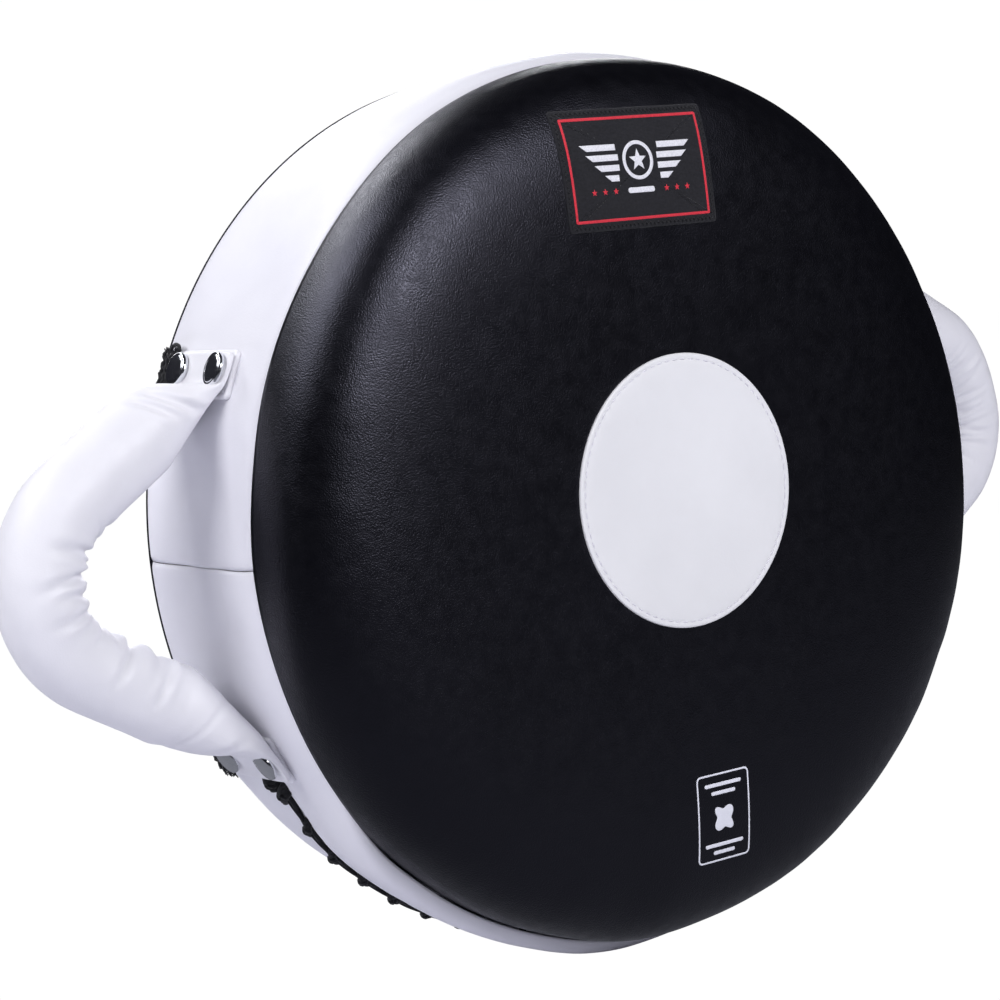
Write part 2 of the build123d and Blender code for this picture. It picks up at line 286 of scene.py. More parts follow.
def face_ripple(x, z, share):
    """Shallow waves of the leather over its foam, deeper round the shoulder."""
    broad = 0.55 * wander(x / 95, z / 95, seed=1) + 0.18 * wander(x / 34, z / 34, seed=2)
    angle = atan2(z, x)
    pull = wander(7 * cos(angle), 7 * sin(angle), share * 2.5, seed=4)
    fine = wander(17 * cos(angle), 17 * sin(angle), share * 4, seed=6)
    shoulder = smooth(0.78, 0.93, share) * smooth(1.0, 0.97, share)
    return broad * smooth(1.0, 0.9, share) + shoulder * (0.42 * pull + 0.16 * fine)


def face_point(x, z, lift=0.0):
    """The point of the strike face in front of (x, z), lifted off the leather by so much."""
    def height(px, pz):
        theta = degrees(atan2(pz, px))
        share = hypot(px, pz) / rim_radius(theta)
        foot = seam_y(theta)
        crown = FRONT_SEAM_Y - CROWN_DEPTH
        y = foot + (crown - foot) * dome_depth(share) / CROWN_DEPTH
        return y - face_ripple(px, pz, share)
    y = height(x, z)
    if not lift:
        return Vector((x, y, z))
    d = 0.5
    slope_x = (height(x + d, z) - height(x - d, z)) / (2 * d)
    slope_z = (height(x, z + d) - height(x, z - d)) / (2 * d)
    out = Vector((slope_x, -1, slope_z)).normalized()
    return Vector((x, y, z)) + out * lift


def side_bulge(theta, share):
    """How far the side wall stands out from the rim, from its front seam (0) to its back seam (1)."""
    theta %= 360
    off_level = abs((theta + 90) % 180 - 90)
    top = smooth(30, 62, off_level) * (theta < 180)
    bottom = smooth(29, 44, off_level) * (theta >= 180)
    valley = smooth(19.0, 7.0, off_level)
    forward = sin(pi * share ** 0.42)
    belly = sin(pi * share ** 0.36) * (1 - share) ** 0.6
    hollow = sin(pi * share ** 1.15) ** 1.7
    return 4.2 * top * forward + 8.6 * belly * bottom - 6.6 * valley * hollow


def wall_radius(theta, y):
    foot, head = seam_y(theta), BACK_SEAM_Y
    share = min(max((y - foot) / (head - foot), 0.0), 1.0)
    off_level = abs((theta % 360 + 90) % 180 - 90)
    first, last = TAB_SPAN[1 if theta % 360 < 180 else -1]
    at_tab = smooth(last + 1.6, last + 0.2, off_level) * smooth(first - 2.6, first - 0.6, off_level)
    a = radians(theta)
    waves = 0.5 * wander(5 * cos(a), 5 * sin(a), y / 60, seed=8)
    waves += 0.22 * wander(14 * cos(a), 14 * sin(a), y / 28, seed=9)
    edge = min(share, 1 - share)
    pinch = (1.3 if share < 0.5 else 0.4) * exp(-edge * 60) + 0.5 * exp(-edge * 14)
    rim = rim_radius(theta) + (hem_radius(theta) - rim_radius(theta)) * smooth(0.15, 1.0, share)
    free = rim + side_bulge(theta, share) - pinch + waves * smooth(0, 0.12, edge)
    lie = smooth(0.0, 0.22, share) * smooth(1.0, 0.86, share)
    held = free + (SEAM_R - 0.2 - free) * lie
    if share > 0.2:
        held = min(held, SEAM_R - 0.1)
    # A small hollow under the horizontal seam where the two side panels meet
    joint = 0.8 * bump((theta % 360 + 90) % 180 - 90, 0, 0.45)
    return max(free * (1 - at_tab) + held * at_tab - joint, WALL_LEAST_R)


# ---- materials ----
def principled(name, rough, metal=0.0, specular=0.5, sheen=0.0):
    material = bpy.data.materials.new(name)
    material.use_nodes = True
    nodes = material.node_tree.nodes
    shader = nodes["Principled BSDF"]
    shader.inputs["Metallic"].default_value = metal
    shader.inputs["Roughness"].default_value = rough
    shader.inputs["Specular IOR Level"].default_value = specular
    shader.inputs["Sheen Weight"].default_value = sheen
    where = nodes.new("ShaderNodeTexCoord").outputs["Object"]
    return material, shader, where


def node(owner, kind, **values):
    """A shader node of a material or world; values are its inputs or its settings."""
    made = owner.node_tree.nodes.new("ShaderNode" + kind)
    for key, value in values.items():
        if key in made.inputs:
            made.inputs[key].default_value = value
        else:
            setattr(made, key, value)
    return made


def link(source, target):
    source.id_data.links.new(source, target)


def noise_tex(material, where, scale, detail=3.0, rough=0.55):
    made = node(material, "TexNoise", Scale=scale, Detail=detail, Roughness=rough)
    link(where, made.inputs["Vector"])
    return made.outputs["Fac"]


def stretch(material, value, low, high, from_low=0.0, from_high=1.0):
    made = node(material, "MapRange")
    for key, number in (("From Min", from_low), ("From Max", from_high), ("To Min", low), ("To Max", high)):
        made.inputs[key].default_value = number
    link(value, made.inputs["Value"])
    return made.outputs["Result"]


def two_tone(material, shader, factor, first, second):
    mix = node(material, "Mix", data_type="RGBA")
    mix.inputs[6].default_value = (*first, 1)
    mix.inputs[7].default_value = (*second, 1)
    link(factor, mix.inputs["Factor"])
    link(mix.outputs[2], shader.inputs["Base Color"])


def add_bumps(material, shader, layers):
    """Chain bump nodes from (height, strength, distance in mm)."""
    last = None
    for height, strength, distance in layers:
        made = node(material, "Bump", Strength=strength, Distance=distance * MM)
        link(height, made.inputs["Height"])
        if last:
            link(last, made.inputs["Normal"])
        last = made.outputs["Normal"]
    link(last, shader.inputs["Normal"])


def pebbles(material, where, scale):
    """Rounded leather pebbles: smooth cells whose edges are creases, broken up by noise."""
    warp = node(material, "VectorMath", operation="MULTIPLY_ADD")
    shift = node(material, "TexNoise", Scale=scale * 0.45, Detail=2.0)
    link(where, shift.inputs["Vector"])
    link(shift.outputs["Color"], warp.inputs[0])
    warp.inputs[1].default_value = (0.9 / scale,) * 3
    link(where, warp.inputs[2])
    cells = node(material, "TexVoronoi", feature="SMOOTH_F1", Scale=scale, Smoothness=0.35)
    link(warp.outputs["Vector"], cells.inputs["Vector"])
    return stretch(material, cells.outputs["Distance"], 1.0, 0.0, 0.05, 0.75)


def leather(name, dark, light, rough, spread, grain, depth, specular=0.5, tint=(1, 1, 1)):
    material, shader, where = principled(name, rough, specular=specular)
    shader.inputs["Specular Tint"].default_value = (*tint, 1)
    cells = pebbles(material, where, grain)
    fine = noise_tex(material, where, grain * 3.1, 2.0)
    broad = noise_tex(material, where, 14.0, 4.0)
    creases = noise_tex(material, where, 160.0, 5.0, 0.6)
    two_tone(material, shader, stretch(material, broad, 0, 1, 0.32, 0.68), dark, light)
    mixed = node(material, "Math", operation="MULTIPLY_ADD")
    link(cells, mixed.inputs[0])
    mixed.inputs[1].default_value = -spread
    link(stretch(material, creases, rough - spread, rough + spread * 2, 0.3, 0.7), mixed.inputs[2])
    link(mixed.outputs["Value"], shader.inputs["Roughness"])
    add_bumps(material, shader,
              ((creases, 0.16 * depth, 0.08), (cells, 0.8 * depth, 0.11), (fine, 0.4 * depth, 0.04)))
    return material


def yarn(name, dark, light, rough, scale, depth=0.6, sheen=0.3, bands=None):
    """Thread and woven goods; bands are the directions of the two sets of threads."""
    material, shader, where = principled(name, rough, specular=0.3, sheen=sheen)
    fibres = noise_tex(material, where, scale * 1.7, 3.0)
    broad = noise_tex(material, where, 60.0, 3.0)
    two_tone(material, shader, stretch(material, fibres, 0, 1, 0.3, 0.7), dark, light)
    link(stretch(material, broad, rough - 0.08, rough + 0.08, 0.3, 0.7), shader.inputs["Roughness"])
    layers = [(fibres, 0.5 * depth, 0.12)]
    for direction in bands or ():
        wave = node(material, "TexWave", wave_type="BANDS", bands_direction=direction, Scale=scale,
                    Distortion=0.6)
        wave.inputs["Detail Scale"].default_value = 2.0
        link(where, wave.inputs["Vector"])
        layers.append((wave.outputs["Fac"], 0.6 * depth, 0.14))
    add_bumps(material, shader, layers)
    return material


def foam(name, dark, light):
    material, shader, where = principled(name, 0.9, specular=0.2, sheen=0.2)
    cells = node(material, "TexVoronoi", Scale=900.0)
    link(where, cells.inputs["Vector"])
    two_tone(material, shader, stretch(material, noise_tex(material, where, 40.0), 0, 1, 0.3, 0.7), dark,
             light)
    link(stretch(material, cells.outputs["Distance"], 0.8, 0.98), shader.inputs["Roughness"])
    add_bumps(material, shader, ((cells.outputs["Distance"], 0.6, 0.5),))
    return material


def metal(name, colour, rough):
    material, shader, where = principled(name, rough, metal=1.0)
    wear = noise_tex(material, where, 900.0, 4.0, 0.7)
    two_tone(material, shader, stretch(material, noise_tex(material, where, 120.0), 0, 1, 0.35, 0.65),
             tuple(c * 0.9 for c in colour), colour)
    link(stretch(material, wear, rough * 0.7, rough * 1.8, 0.3, 0.7), shader.inputs["Roughness"])
    add_bumps(material, shader, ((wear, 0.12, 0.03),))
    return material


BLACK = leather("black_leather_grain", (0.0012, 0.0012, 0.0019), (0.0020, 0.0020, 0.0032), 0.36, 0.04,
                1450.0, 1.0, specular=0.45, tint=(0.80, 0.80, 1.0))
WHITE = leather("white_leather_grain", (0.72, 0.715, 0.77), (0.77, 0.765, 0.81), 0.52, 0.05, 1100.0, 0.22,
                specular=0.4)
GRIP = leather("white_grip_leather", (0.73, 0.725, 0.77), (0.79, 0.785, 0.82), 0.50, 0.05, 1250.0, 0.26,
               specular=0.4)
TARGET = leather("target_leather", (0.76, 0.76, 0.775), (0.81, 0.81, 0.825), 0.50, 0.05, 1000.0, 0.25,
                 specular=0.4)
LABEL_CLOTH = yarn("label_weave", (0.0055, 0.0055, 0.008), (0.013, 0.013, 0.018), 0.8, 480.0, 0.8, 0.15,
                   ("X", "Z"))
RED_YARN = yarn("red_embroidery", (0.50, 0.012, 0.03), (0.72, 0.028, 0.05), 0.62, 900.0, 0.7, 0.2)
WHITE_YARN = yarn("white_embroidery", (0.66, 0.66, 0.71), (0.86, 0.86, 0.90), 0.6, 900.0, 0.7, 0.3,
                  ("DIAGONAL",))
BLACK_THREAD = yarn("black_thread", (0.004, 0.004, 0.006), (0.014, 0.014, 0.018), 0.6, 1500.0, 0.6, 0.1)
WHITE_THREAD = yarn("white_thread", (0.62, 0.61, 0.66), (0.78, 0.77, 0.82), 0.6, 1500.0, 0.6, 0.2)
WEBBING = yarn("black_webbing_weave", (0.0035, 0.0035, 0.005), (0.010, 0.010, 0.013), 0.72, 420.0, 1.0, 0.15,
               ("Y",))
LACE = yarn("black_lace_braid", (0.003, 0.003, 0.004), (0.010, 0.010, 0.013), 0.66, 700.0, 1.0, 0.1,
            ("DIAGONAL",))
INK = leather("white_print", (0.74, 0.75, 0.82), (0.84, 0.85, 0.92), 0.45, 0.05, 900.0, 0.5, specular=0.4)
CHROME = metal("chrome_worn", (0.80, 0.81, 0.84), 0.13)
STEEL = metal("brushed_washer", (0.55, 0.55, 0.57), 0.32)
DENSE_FOAM = foam("dense_foam_cells", (0.10, 0.10, 0.11), (0.14, 0.14, 0.15))
CORE_FOAM = foam("core_foam_cells", (0.70, 0.67, 0.58), (0.80, 0.78, 0.70))


# ---- front cover ----
def dome_rows(spacing):
    """Shares of the rim's radius that space the cover's rows evenly along its curve, seam last."""
    w = np.linspace(1, 0, 3000)
    share = 1 - w ** 3
    depth = [dome_depth(s) for s in share]
    length = np.concatenate(([0], np.cumsum(np.hypot(np.diff(share * SEAM_R), np.diff(depth)))))
    return np.interp(np.linspace(0, length[-1], int(length[-1] / spacing)), length, share)


COLS = 480


def make_cover():
    rows = list(dome_rows(2.3))[1:]
    rolled = ((0.35, 0.0), (1.2, 0.25), (3.0, 0.35))
    verts = []
    for share in rows:
        for j in range(COLS):
            theta = 360 * j / COLS
            a = radians(theta)
            r = rim_radius(theta) * share
            verts.append(face_point(r * cos(a), r * sin(a)))
    for inward, forward in rolled:
        for j in range(COLS):
            theta = 360 * j / COLS
            verts.append(polar(theta, rim_radius(theta) - inward, seam_y(theta) - forward - 0.1))
    total = len(rows) + len(rolled)
    verts.append(face_point(0.001, 0))
    faces = grid_faces(total, COLS, wrap=True)
    faces += fan(len(verts) - 1, 0, COLS)
    cover = make_piece("front_cover", verts, faces, BLACK)
    thicken(cover, 1.0)
    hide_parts("front_panel")


make_cover()


# ---- side wall ----
def joint_bow(theta, share):
    """The seam between the two side panels sags by this angle in the middle of the wall."""
    near = smooth(9.0, 1.0, abs((theta % 360 + 90) % 180 - 90))
    left = 1 if 90 < theta % 360 < 270 else -1
    return 0.6 * left * near * sin(pi * share)


def make_wall(name, node_name, start, end):
    """Half of the side wall, cut through along the laced slit where it has one."""
    columns = 300
    near = [0.0, 0.25, 0.6, 1.2, 2.2, 3.6]
    edge = [s / 86 for s in near]
    shares = edge + [0.06 + 0.88 * i / 40 for i in range(41)] + [1 - s for s in reversed(edge)]
    lips = [SLIT_Y - SLIT_HALF, SLIT_Y + SLIT_HALF]
    edges = [SLIT_Y - 4.2, SLIT_Y - 2.4, lips[0], lips[1], SLIT_Y + 2.4, SLIT_Y + 4.2]

    def row_y(theta, share):
        foot, head = seam_y(theta) + 0.12, BACK_SEAM_Y - 0.12
        return foot + (head - foot) * share
    share_of = lambda y: (y - FRONT_SEAM_Y - 0.12) / (BACK_SEAM_Y - FRONT_SEAM_Y - 0.24)
    keep = [s for s in shares if all(abs(s - share_of(e)) > 0.012 for e in edges)
            and not share_of(edges[0]) < s < share_of(edges[-1])]
    rows = sorted(keep + [share_of(e) for e in edges])
    cut = rows.index(share_of(lips[0]))
    verts = []
    for share in rows:
        for j in range(columns):
            theta = start + (end - start) * j / (columns - 1)
            y = row_y(theta, share)
            r = wall_radius(theta, y)
            if start >= 180:
                inside = (smooth(SLIT_START - 2, SLIT_START + 1, theta)
                          * smooth(SLIT_END + 2, SLIT_END - 1, theta))
                gap = abs(y - SLIT_Y)
                tug = 0.5 - 0.5 * cos((theta - 270) / LACE_PITCH * tau)
                r += inside * (0.9 * bump(gap, 3.4, 1.6) - 2.0 * bump(gap, 1.0, 0.9))
                if gap < 3:
                    y += inside * copysign(0.7 * (1 - tug), y - SLIT_Y)
            verts.append(polar(theta + joint_bow(theta, share), r, y))

    def open_here(i, j):
        theta = start + (end - start) * (j + 0.5) / (columns - 1)
        return start >= 180 and i == cut and SLIT_START < theta < SLIT_END
    wall = make_piece(name, verts, grid_faces(len(rows), columns, skip=open_here), WHITE)
    thicken(wall, 0.9)
    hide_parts(node_name)


make_wall("side_wall_upper", "gusset_upper", 0.05, 179.95)
make_wall("side_wall_lower", "gusset_lower", 180.05, 359.95)


def make_slit_flap():
    verts, columns = [], 160
    rows = [-15 + 30 * i / 12 for i in range(13)]
    for off in rows:
        for j in range(columns):
            theta = SLIT_START - 1 + (SLIT_END - SLIT_START + 2) * j / (columns - 1)
            verts.append(polar(theta, FLAP_R + 0.3 * wander(theta / 4, off / 9, seed=11), SLIT_Y + off))
    flap = make_piece("slit_flap_strip", verts, grid_faces(len(rows), columns), WHITE)
    thicken(flap, 0.8)
    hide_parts("slit_flap")


make_slit_flap()


# ---- back cover ----
def make_back():
    profile = [(0.0, 0.0)] + [(r, 0.0) for r in range(6, 192, 6)]
    profile += [(191, -0.05), (192.6, -0.2), (194, -0.35), (195.4, -0.2), (197, -0.05), (198.4, -0.05),
                (199.2, -0.15), (199.5, -0.45), (199.4, -0.8), (198.9, -1.0), (198.0, -1.1), (194.0, -1.1)]
    profile += [(r, -1.1) for r in range(180, 0, -20)]
    verts = []
    for r, y in profile[1:]:
        for j in range(COLS):
            theta = 360 * j / COLS
            a = radians(theta)
            edge = hem_radius(theta) - SEAM_R + 0.2 - 1.3 * along_bottom(theta)
            wave = 0.0
            if y > -1:
                wave = 0.45 * abs(wander(r * cos(a) / 70, r * sin(a) / 70, seed=13)) * smooth(196, 180, r)
            verts.append(polar(theta, r + edge * r / SEAM_R, y - wave))
    last = len(profile) - 2
    verts += [Vector((0, -0.1, 0)), Vector((0, -1.1, 0))]
    faces = grid_faces(last + 1, COLS, wrap=True)
    faces += fan(len(verts) - 2, 0, COLS)
    faces += fan(len(verts) - 1, last * COLS, COLS)
    back = make_piece("back_cover", verts, faces, BLACK)
    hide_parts("back_panel")


make_back()


# ---- flat pieces sewn or printed on a surface ----
def rounded_box(width, height, corner, steps=6, at=(0, 0), along=0):
    """Outline of a rounded rectangle, anticlockwise; along adds points on each straight edge."""
    points = []
    for cx, cy, first in ((1, 1, 0), (-1, 1, 90), (-1, -1, 180), (1, -1, 270)):
        for k in range(steps + 1):
            a = radians(first + 90 * k / steps)
            points.append((cx * (width / 2 - corner) + corner * cos(a),
                           cy * (height / 2 - corner) + corner * sin(a)))
    if along:
        dense = []
        for i, p in enumerate(points):
            q = points[(i + 1) % len(points)]
            gap = hypot(q[0] - p[0], q[1] - p[1])
            parts = max(1, round(gap / along))
            dense += [between(p, q, k / parts) for k in range(parts)]
        points = dense
    return [(at[0] + x, at[1] + y) for x, y in points]


def place_outline(points, turn, at):
    c, s = cos(radians(turn)), sin(radians(turn))
    return [(at[0] + x * c - y * s, at[1] + x * s + y * c) for x, y in points]


def inset_outline(points, distance):
    """The outline moved inwards by a distance, for small distances."""
    moved = []
    for i, p in enumerate(points):
        a, b = points[i - 1], points[(i + 1) % len(points)]
        dx, dy = b[0] - a[0], b[1] - a[1]
        size = hypot(dx, dy) or 1
        moved.append((p[0] - dy / size * distance, p[1] + dx / size * distance))
    return moved


def plate(shape, outline, place, profile, rings=10):
    """A closed plate on a surface; place(u, v, lift) gives a point, profile (inset, lift) from its edge in."""
    centre, count = middle_of(outline), len(outline)
    last_inset, top = profile[-1]
    verts = []
    for inset, lift in ((0.0, -SUNK), *profile):
        verts += [place(u, v, lift) for u, v in inset_outline(outline, inset)]
    inner = inset_outline(outline, last_inset)
    for k in range(1, rings):
        verts += [place(*between(centre, p, 1 - k / rings), top) for p in inner]
    rows = len(verts) // count
    verts.append(place(*centre, top))
    faces = grid_faces(rows, count, wrap=True) + fan(rows * count, (rows - 1) * count, count)
    faces.append(tuple(range(count)))
    shape.add(verts, faces)


def band_plate(shape, outer, inner, place, lift):
    """A raised closed band between two outlines that have the same number of points."""
    count = len(outer)
    near_out, middle, near_in = ([between(a, b, t) for a, b in zip(outer, inner)] for t in (0.25, 0.5, 0.75))
    base = lift - 0.3 if lift > 0.3 else -0.2
    edge = base + (lift - base) * 0.6
    lines = ((outer, base), (outer, edge), (near_out, lift * 0.97), (middle, lift),
             (near_in, lift * 0.97), (inner, edge), (inner, base))
    verts = [place(u, v, height) for line, height in lines for u, v in line]
    last = (len(lines) - 1) * count
    faces = grid_faces(len(lines), count, wrap=True)
    faces += [(last + j, last + (j + 1) % count, (j + 1) % count, j) for j in range(count)]
    shape.add(verts, faces)


def sew_line(shape, points, place, pitch, length, width, lift, slant=0.0):
    """Stitches of an even pitch round an outline on a surface."""
    count = len(points)
    total = [0.0]
    for i in range(count):
        p, q = points[i], points[(i + 1) % count]
        total.append(total[-1] + hypot(q[0] - p[0], q[1] - p[1]))
    number = max(2, round(total[-1] / pitch))
    for k in range(number):
        far = total[-1] * (k + 0.5) / number
        i = max(0, min(int(np.searchsorted(total, far)) - 1, len(total) - 2))
        p, q = points[i], points[(i + 1) % count]
        t = (far - total[i]) / max(total[i + 1] - total[i], 1e-6)
        u, v = between(p, q, t)
        size = hypot(q[0] - p[0], q[1] - p[1]) or 1
        du, dv = (q[0] - p[0]) / size, (q[1] - p[1]) / size
        here, ahead = place(u, v, lift), place(u + du, v + dv, lift)
        out = place(u, v, lift + 1) - here
        along = (ahead - here).normalized()
        if slant:
            along = (along + along.cross(out).normalized() * slant).normalized()
        shape.stitch(here, along, out, length, width)


# ---- target ----
def make_target():
    outline = [(TARGET_R * cos(tau * k / 240), TARGET_Z + TARGET_R * sin(tau * k / 240)) for k in range(240)]
    disc = Shape()
    profile = [(0.0, 0.45), (0.15, 0.85), (0.5, 1.12), (1.3, 1.22), (2.2, 1.1), (2.7, 0.92), (3.2, 1.1),
               (4.2, 1.3), (7.0, 1.38)]
    plate(disc, outline, face_point, profile, rings=16)
    target = disc.piece("centre_target_disc", TARGET, "white_leather")
    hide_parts("centre_target")
    threads = Shape()
    sew_line(threads, inset_outline(outline, 2.7), face_point, SEAM_PITCH, 3.5, 0.7, 1.06)
    threads.piece("target_stitching", WHITE_THREAD, "white_leather")


make_target()


# ---- woven label ----
def star(radius, at):
    points = []
    for k in range(10):
        r = radius if k % 2 == 0 else radius * 0.42
        a = radians(90 + 36 * k)
        points.append((at[0] + r * cos(a), at[1] + r * sin(a)))
    return points


def on_label(u, v, lift):
    x, z = place_outline([(u, v)], LABEL_TURN, LABEL_AT)[0]
    return face_point(x, z, lift)


def flat_shape(shape, outline, place, top, middle=None):
    """A thin closed slab with any outline that its middle can see all of."""
    centre, count = middle or middle_of(outline), len(outline)
    verts = []
    for lift, share in ((top - SUNK, 1.0), (top - 0.06, 1.0), (top, 0.93), (top + 0.02, 0.5)):
        verts += [place(*between(centre, p, share), lift) for p in outline]
    verts += [place(*centre, top + 0.02), place(*centre, top - SUNK)]
    faces = grid_faces(4, count, wrap=True) + fan(len(verts) - 2, 3 * count, count)
    shape.add(verts, faces + fan(len(verts) - 1, 0, count))


def make_label():
    cloth = Shape()
    width, height = LABEL_SIZE
    outline = rounded_box(width, height, 1.5, steps=4, along=2.0)
    plate(cloth, outline, on_label,
          [(0.0, 0.35), (0.25, 0.62), (0.8, 0.7), (1.8, 0.55), (2.6, 0.7), (3.6, 0.8)], rings=14)
    label = cloth.piece("label_ground", LABEL_CLOTH, "woven_label")
    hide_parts("woven_label")

    border = Shape()
    outer = rounded_box(width - 7.6, height - 7.6, 0.8, steps=3, along=2.0)
    band_plate(border, outer, inset_outline(outer, 1.25), on_label, 1.0)
    for side in (-1, 1):
        for k in range(3):
            flat_shape(border, star(1.55, (side * (14.5 + 6.0 * k), -9.8)), on_label, 1.0)
    border.piece("label_red_embroidery", RED_YARN, "woven_label")

    # A plain emblem: a ring with a star, between tapering bars
    motif = Shape()
    circle = [(8.6 * cos(tau * k / 48), 3.2 + 8.6 * sin(tau * k / 48)) for k in range(48)]
    band_plate(motif, circle, inset_outline(circle, 1.7), on_label, 1.02)
    flat_shape(motif, star(5.0, (0, 3.2)), on_label, 1.02)
    for side in (-1, 1):
        for k, (reach, rise) in enumerate(((31.0, 9.4), (28.5, 4.9), (24.5, 0.4), (19.5, -4.1))):
            x0 = 11.0 + (0.8, 0.0, 0.0, 0.8)[k]
            bar = [(x0, rise - 1.35), (reach - 3.4, rise - 1.35), (reach, rise + 1.35), (x0, rise + 1.35)]
            if side < 0:
                bar = [(-x, y) for x, y in reversed(bar)]
            flat_shape(motif, bar, on_label, 1.02)
    dash = rounded_box(15.0, 2.4, 1.0, steps=3, at=(0, -9.8))
    flat_shape(motif, dash, on_label, 1.0)
    motif.piece("label_white_embroidery", WHITE_YARN, "woven_label")

    hem = Shape()
    line = rounded_box(width - 4.0, height - 4.0, 1.0, steps=2, along=1.6)
    sew_line(hem, line, on_label, 2.3, 3.4, 0.8, 0.75, slant=1.1)
    sew_line(hem, rounded_box(width - 3.4, height - 3.4, 1.0, steps=2, along=1.6), on_label, 2.3, 3.2, 0.75,
             0.72, slant=-1.0)
    hem.piece("label_zigzag_stitching", BLACK_THREAD, "woven_label")


make_label()


# ---- printed mark: a frame, a plain hide and bars in place of words ----
def on_mark(u, v, lift):
    x, z = place_outline([(u, v)], MARK_TURN, MARK_AT)[0]
    return face_point(x, z, lift)


def make_mark():
    print_shape = Shape()
    width, height = MARK_SIZE
    outer = rounded_box(width, height, 2.6, steps=6, along=1.5)
    band_plate(print_shape, outer, inset_outline(outer, 0.95), on_mark, PRINT_LIFT)
    for wide, rise in ((22.0, 15.2), (14.5, 11.4), (23.0, -12.6), (13.0, -16.2)):
        flat_shape(print_shape, rounded_box(wide, 1.7, 0.75, steps=3, at=(0, rise)), on_mark, PRINT_LIFT)
    hide = []
    for k in range(72):
        a = tau * k / 72
        r = 5.6 + 1.35 * cos(4 * a) + 0.5 * cos(2 * a)
        hide.append((r * 0.92 * cos(a), r * 1.12 * sin(a)))
    middle = (0, -0.6)
    flat_shape(print_shape, place_outline(hide, degrees(0.785), middle), on_mark, PRINT_LIFT, middle)
    print_shape.piece("printed_mark", INK, "white_leather")


make_mark()


# ---- threads of the two round seams ----
def make_seam_threads():
    threads = Shape()
    number = int(tau * SEAM_R / SEAM_PITCH)
    for k in range(number):
        theta = 360 * k / number
        y = seam_y(theta) + 1.15
        here = polar(theta, rim_radius(theta) - 1.1, y)
        out = polar(theta, 1, 0) + Vector((0, 0.25, 0))
        along = polar(theta + 90, 1, 0) + Vector((0, 0.55, 0))
        threads.stitch(here, along, out, 2.1, 0.55, 0.6)
    threads.piece("front_seam_thread", BLACK_THREAD, "black_leather")
    threads = Shape()
    for k in range(number):
        theta = 360 * k / number
        here = polar(theta, 194.7 + hem_radius(theta) - SEAM_R, -0.28)
        threads.stitch(here, polar(theta + 90, 1, 0), Vector((0, 1, 0)), 3.4, 0.8)
    threads.piece("back_seam_thread", BLACK_THREAD, "black_leather")


make_seam_threads()


# ---- handle tabs ----
def bearing(side, end, angle):
    return end * angle if side > 0 else 180 - end * angle


def on_tab(side, end):
    """u runs up the tab away from the horizontal, v towards the back; both in mm from its middle."""
    middle = sum(TAB_SPAN[end]) / 2
    per_mm = degrees(1 / (TAB_R + 1.2))
    return lambda u, v, lift: polar(bearing(side, end, middle + u * per_mm), TAB_R + lift, TAB_Y + v)


def make_tab(side, side_name, end, end_name):
    place = on_tab(side, end)
    long = radians(TAB_SPAN[end][1] - TAB_SPAN[end][0]) * (TAB_R + 1.2)
    trim = 0.0 if end > 0 else 2.4
    outline = rounded_box(long, TAB_W - trim, 2.6, steps=5, along=2.0, at=(0, trim / 2))
    shape = Shape()
    profile = [(0.0, 0.9), (0.18, 1.6), (0.6, 2.05), (1.5, 2.2), (2.2, 2.05), (2.6, 1.85), (3.0, 2.05),
               (4.0, 2.25)]
    plate(shape, outline, place, profile, rings=8)
    tab = shape.piece(f"{side_name}_{end_name}_tab_leather", GRIP, "white_leather")
    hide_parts(f"{side_name}_{end_name}_tab")
    threads = Shape()
    sew_line(threads, inset_outline(outline, 2.6), place, 3.4, 2.6, 0.62, 2.0)
    threads.piece(f"{side_name}_{end_name}_tab_stitching", WHITE_THREAD, "white_leather")


def lathe(profile, origin, out, sides=40):
    """Points and faces of a closed turned shape; profile lists (radius, height) from the top's middle down."""
    out = out.normalized()
    first = out.cross(Vector((0.2, 0.9, 0.1))).normalized()
    second = out.cross(first)
    verts = [origin + out * profile[0][1]]
    for r, h in profile[1:]:
        for k in range(sides):
            a = tau * k / sides
            verts.append(origin + out * h + first * (r * cos(a)) + second * (r * sin(a)))
    rows = len(profile) - 1
    faces = [tuple(1 + i for i in f) for f in grid_faces(rows, sides, wrap=True)]
    faces += fan(0, 1, sides)
    faces.append(tuple(1 + (rows - 1) * sides + k for k in range(sides)))
    return verts, faces


def make_rivets(side, side_name, end, end_name):
    shape = Shape()
    cap = [(0, 3.05), (2.2, 3.03), (4.4, 2.95), (5.8, 2.8), (6.25, 2.62), (6.4, 2.5), (6.65, 2.58),
           (7.0, 2.6), (7.35, 2.45),
           (7.65, 2.05), (7.8, 1.5), (7.8, 0.8), (7.65, 0.3), (7.4, 0.0), (2.05, -0.1), (2.05, -10.6)]
    for half in (-RIVET_PITCH / 2, RIVET_PITCH / 2):
        theta = bearing(side, end, RIVET_ANGLE[end])
        lean = Vector((0, 0.05 if half > 0 else 0.12, 0))
        shape.add(*lathe(cap, polar(theta, RIVET_SEAT_R - 0.15, RIVET_Y + half), polar(theta, 1, 0) + lean))
    rivets = shape.piece(f"{side_name}_{end_name}_rivet_caps", CHROME, "rivet_chrome")
    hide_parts(f"{side_name}_{end_name}_rivets")


